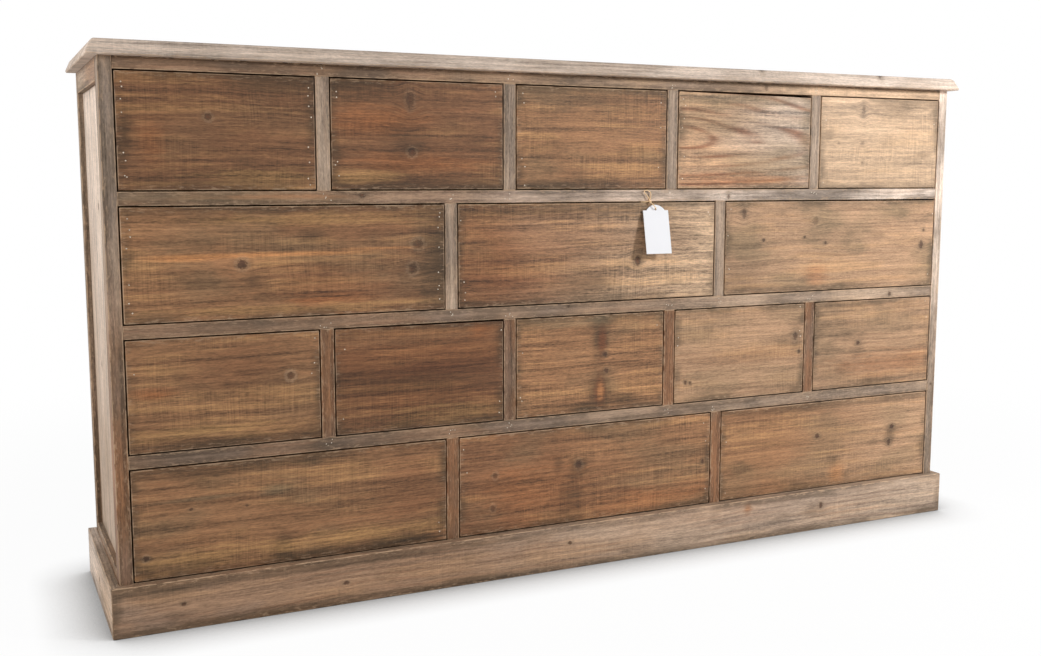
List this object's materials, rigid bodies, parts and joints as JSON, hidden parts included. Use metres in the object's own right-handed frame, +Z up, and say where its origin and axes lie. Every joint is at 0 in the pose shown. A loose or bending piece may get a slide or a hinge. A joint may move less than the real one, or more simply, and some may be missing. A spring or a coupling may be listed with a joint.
{
  "type": "seed storage cabinet",
  "caption": "Low, wide reclaimed-wood storage chest with inset drawers in a brickwork pattern on a plain plinth.",
  "frame": {"origin": "on the floor, midway across and midway from front to back of the whole chest", "axes": "+X to the right of someone facing the drawers, +Y to the back, +Z up"},
  "size_m": [1.836, 0.3949, 0.987],
  "materials": {
    "tag_card": "plain white card",
    "frame_wood": "reclaimed pine, greyed",
    "drawer_front_wood": "reclaimed pine, waxed, band-sawn",
    "inner_wood": "plain pine, unfinished",
    "plinth_wood": "reclaimed pine, pale and worn",
    "side_wood": "reclaimed pine, pale",
    "top_wood": "reclaimed pine, pale and worn",
    "twine_jute": "light jute twine, two-ply"
  },
  "bodies": {
    "carcass": {"back_boards": "inner_wood", "back_rails": "inner_wood", "drawer_guides": "inner_wood", "drawer_runners": "inner_wood", "muntins_row_1": "frame_wood", "muntins_row_2": "frame_wood", "muntins_row_3": "frame_wood", "muntins_row_4": "frame_wood", "plinth_front": "plinth_wood", "plinth_left": "plinth_wood", "plinth_right": "plinth_wood", "post_back_left": "side_wood", "post_back_right": "side_wood", "post_front_left": "frame_wood", "post_front_right": "frame_wood", "rail_bottom": "frame_wood", "rail_lower": "frame_wood", "rail_middle": "frame_wood", "rail_top": "frame_wood", "rail_upper": "frame_wood", "side_panel_left": "side_wood", "side_panel_right": "side_wood", "side_rails_left": "side_wood", "side_rails_right": "side_wood", "top_plank_back": "top_wood", "top_plank_front": "top_wood"},
    "drawer_1_1": {"drawer_1_1_front": "drawer_front_wood", "drawer_1_1_box": "inner_wood"},
    "drawer_1_2": {"drawer_1_2_front": "drawer_front_wood", "drawer_1_2_box": "inner_wood"},
    "drawer_1_3": {"drawer_1_3_front": "drawer_front_wood", "drawer_1_3_box": "inner_wood"},
    "drawer_1_4": {"drawer_1_4_front": "drawer_front_wood", "drawer_1_4_box": "inner_wood"},
    "drawer_1_5": {"drawer_1_5_front": "drawer_front_wood", "drawer_1_5_box": "inner_wood"},
    "drawer_2_1": {"drawer_2_1_front": "drawer_front_wood", "drawer_2_1_box": "inner_wood"},
    "drawer_2_2": {"drawer_2_2_front": "drawer_front_wood", "drawer_2_2_box": "inner_wood", "swing_tag": "tag_card", "tag_twine": "twine_jute"},
    "drawer_2_3": {"drawer_2_3_front": "drawer_front_wood", "drawer_2_3_box": "inner_wood"},
    "drawer_3_1": {"drawer_3_1_front": "drawer_front_wood", "drawer_3_1_box": "inner_wood"},
    "drawer_3_2": {"drawer_3_2_front": "drawer_front_wood", "drawer_3_2_box": "inner_wood"},
    "drawer_3_3": {"drawer_3_3_front": "drawer_front_wood", "drawer_3_3_box": "inner_wood"},
    "drawer_3_4": {"drawer_3_4_front": "drawer_front_wood", "drawer_3_4_box": "inner_wood"},
    "drawer_3_5": {"drawer_3_5_front": "drawer_front_wood", "drawer_3_5_box": "inner_wood"},
    "drawer_4_1": {"drawer_4_1_front": "drawer_front_wood", "drawer_4_1_box": "inner_wood"},
    "drawer_4_2": {"drawer_4_2_front": "drawer_front_wood", "drawer_4_2_box": "inner_wood"},
    "drawer_4_3": {"drawer_4_3_front": "drawer_front_wood", "drawer_4_3_box": "inner_wood"}
  },
  "joints": [
    {"name": "drawer_1_1_slide", "type": "slide", "parent": "carcass", "child": "drawer_1_1", "axis": [0, -1, 0], "range_m": [0, 0.25]},
    {"name": "drawer_1_2_slide", "type": "slide", "parent": "carcass", "child": "drawer_1_2", "axis": [0, -1, 0], "range_m": [0, 0.25]},
    {"name": "drawer_1_3_slide", "type": "slide", "parent": "carcass", "child": "drawer_1_3", "axis": [0, -1, 0], "range_m": [0, 0.25]},
    {"name": "drawer_1_4_slide", "type": "slide", "parent": "carcass", "child": "drawer_1_4", "axis": [0, -1, 0], "range_m": [0, 0.25]},
    {"name": "drawer_1_5_slide", "type": "slide", "parent": "carcass", "child": "drawer_1_5", "axis": [0, -1, 0], "range_m": [0, 0.25]},
    {"name": "drawer_2_1_slide", "type": "slide", "parent": "carcass", "child": "drawer_2_1", "axis": [0, -1, 0], "range_m": [0, 0.25]},
    {"name": "drawer_2_2_slide", "type": "slide", "parent": "carcass", "child": "drawer_2_2", "axis": [0, -1, 0], "range_m": [0, 0.25]},
    {"name": "drawer_2_3_slide", "type": "slide", "parent": "carcass", "child": "drawer_2_3", "axis": [0, -1, 0], "range_m": [0, 0.25]},
    {"name": "drawer_3_1_slide", "type": "slide", "parent": "carcass", "child": "drawer_3_1", "axis": [0, -1, 0], "range_m": [0, 0.25]},
    {"name": "drawer_3_2_slide", "type": "slide", "parent": "carcass", "child": "drawer_3_2", "axis": [0, -1, 0], "range_m": [0, 0.25]},
    {"name": "drawer_3_3_slide", "type": "slide", "parent": "carcass", "child": "drawer_3_3", "axis": [0, -1, 0], "range_m": [0, 0.25]},
    {"name": "drawer_3_4_slide", "type": "slide", "parent": "carcass", "child": "drawer_3_4", "axis": [0, -1, 0], "range_m": [0, 0.25]},
    {"name": "drawer_3_5_slide", "type": "slide", "parent": "carcass", "child": "drawer_3_5", "axis": [0, -1, 0], "range_m": [0, 0.25]},
    {"name": "drawer_4_1_slide", "type": "slide", "parent": "carcass", "child": "drawer_4_1", "axis": [0, -1, 0], "range_m": [0, 0.25]},
    {"name": "drawer_4_2_slide", "type": "slide", "parent": "carcass", "child": "drawer_4_2", "axis": [0, -1, 0], "range_m": [0, 0.25]},
    {"name": "drawer_4_3_slide", "type": "slide", "parent": "carcass", "child": "drawer_4_3", "axis": [0, -1, 0], "range_m": [0, 0.25]}
  ]
}
